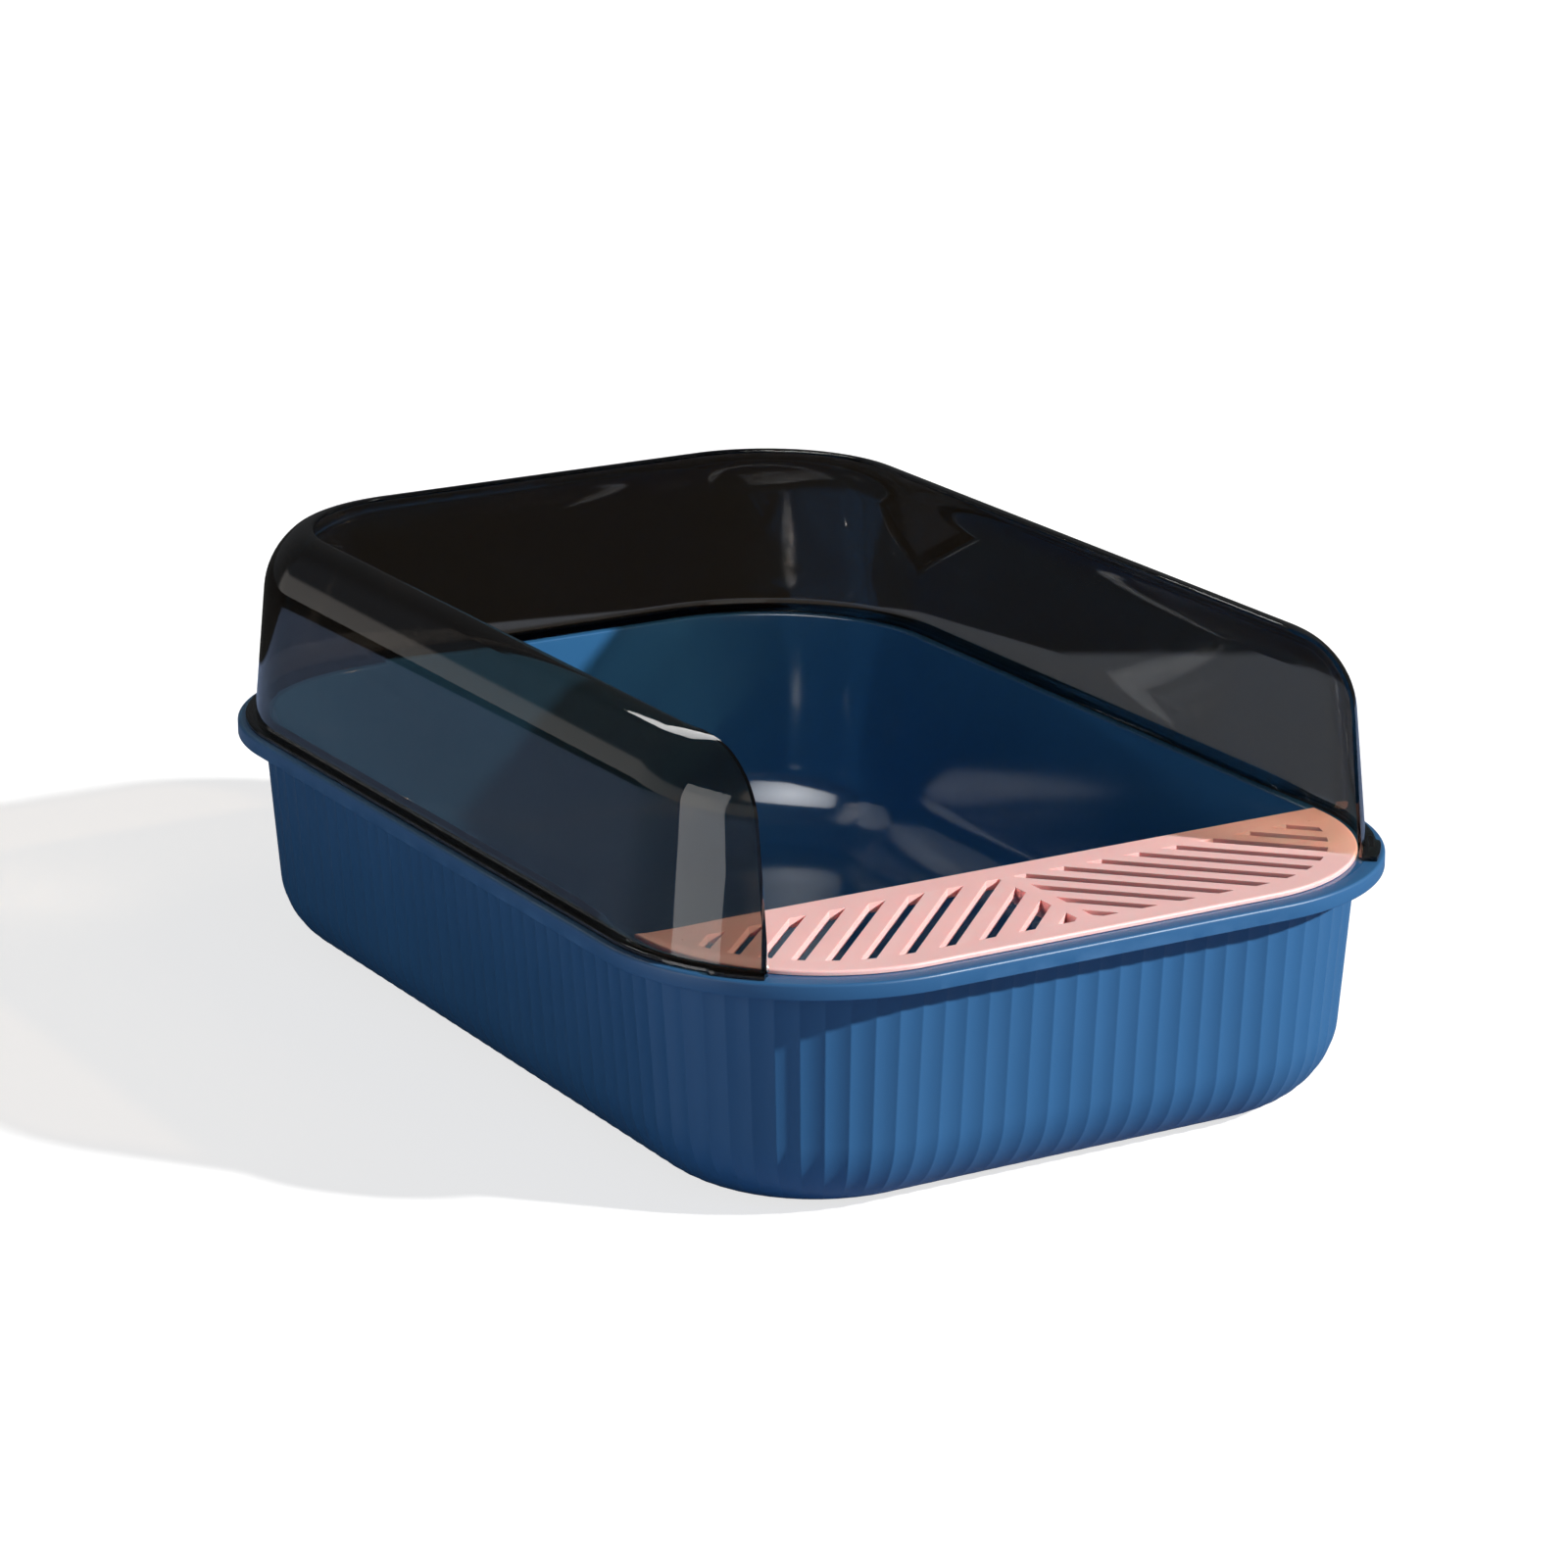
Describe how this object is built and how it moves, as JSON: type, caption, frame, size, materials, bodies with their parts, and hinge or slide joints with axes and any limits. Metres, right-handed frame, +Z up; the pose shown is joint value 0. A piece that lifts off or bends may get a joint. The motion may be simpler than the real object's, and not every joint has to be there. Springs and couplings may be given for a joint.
{
  "type": "cat litter box with splash shield",
  "caption": "Deep fluted litter pan with a clear smoked splash shield round three sides and a slotted step plate across the front.",
  "frame": {"origin": "on the floor, under the middle of the pan", "axes": "+Z up; -Y is the front, where the cat steps in over the slotted plate; +X is to the right seen from the front"},
  "size_m": [0.4, 0.575, 0.2169],
  "materials": {
    "blue_plastic": "satin moulded polypropylene, mid blue",
    "smoked_plastic": "polished transparent smoke-grey styrene",
    "pink_plastic": "satin moulded polypropylene, pale pink"
  },
  "bodies": {
    "pan": {"pan": "blue_plastic"},
    "shield": {"splash_shield": "smoked_plastic"},
    "step": {"step_plate": "pink_plastic"}
  },
  "joints": [
    {"name": "shield_lift", "type": "slide", "parent": "pan", "child": "shield", "axis": [0, 0, 1], "range_m": [0, 0.15]},
    {"name": "step_tilt", "type": "hinge", "parent": "pan", "child": "step", "pos_m": [0, -0.2775, 0.1203], "axis": [1, 0, 0], "range_deg": [0, 12]}
  ]
}
